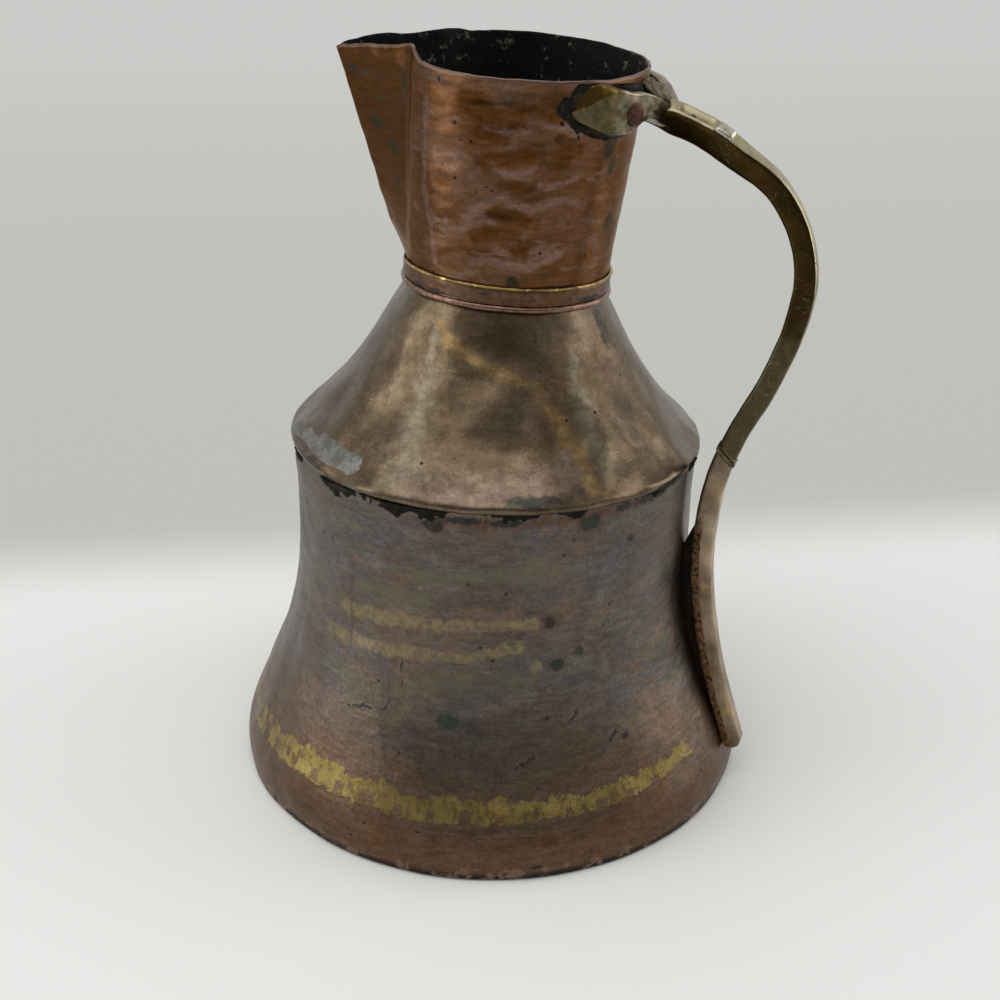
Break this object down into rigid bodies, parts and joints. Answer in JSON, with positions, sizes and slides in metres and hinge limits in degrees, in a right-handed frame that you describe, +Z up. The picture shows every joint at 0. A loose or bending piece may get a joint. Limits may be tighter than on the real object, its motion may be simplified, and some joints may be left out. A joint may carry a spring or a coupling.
{
  "type": "pitcher",
  "caption": "Leaning copper pitcher with a skirt-shaped body, hollow cone shoulder, flared neck with a folded spout, and a riveted brass bar handle.",
  "frame": {"origin": "centre of the round base, on the surface that the pitcher stands on", "axes": "+Z up; +X from the base's centre towards the side that carries the handle, with the spout roughly on the -X side; +Y completes a right-handed frame"},
  "size_m": [0.2357, 0.22, 0.3029],
  "materials": {
    "body_copper": "hammered copper sheet under a dark brown patina with blue and purple tints",
    "base_copper": "reddish brown patina on hammered copper",
    "seam_brass": "dull yellow brass spelter, ragged where it was filed flush",
    "shoulder_copper": "worn olive-brown patina, burnished over the hammer marks",
    "collar_copper": "brown patina with a rubbed bead",
    "neck_copper": "orange-brown copper, polished and stained, dark tin lining inside",
    "handle_brass": "cast brass bar, olive-brown on its sides and pale on its upper face",
    "strap_copper": "forged copper bar, brown, hammer-marked",
    "rivet_copper": "reddish brown copper rivet head, peened",
    "bright_brass": "bright brass braze",
    "tin": "grey wiped tin solder, crusty",
    "dark_solder": "blackened solder, pitted",
    "strap_solder": "rough brown solder under the strap"
  },
  "bodies": {
    "root": {"base_pan": "base_copper", "base_seam_braze": "seam_brass", "lower_body": "body_copper", "shoulder": "shoulder_copper", "shoulder_solder": "dark_solder", "lip_tin_patch": "tin", "neck_collar": "collar_copper", "collar_wire": "bright_brass", "neck_and_spout": "neck_copper", "handle_bar": "handle_brass", "stem_lap": "handle_brass", "scarf_braze": "bright_brass", "handle_strap": "strap_copper", "strap_solder": "strap_solder", "fork_wing_near": "handle_brass", "fork_wing_far": "handle_brass", "wing_rivet_near": "rivet_copper", "wing_rivet_far": "rivet_copper", "wing_solder_near": "dark_solder", "wing_solder_far": "dark_solder", "rim_solder": "tin"}
  },
  "joints": []
}
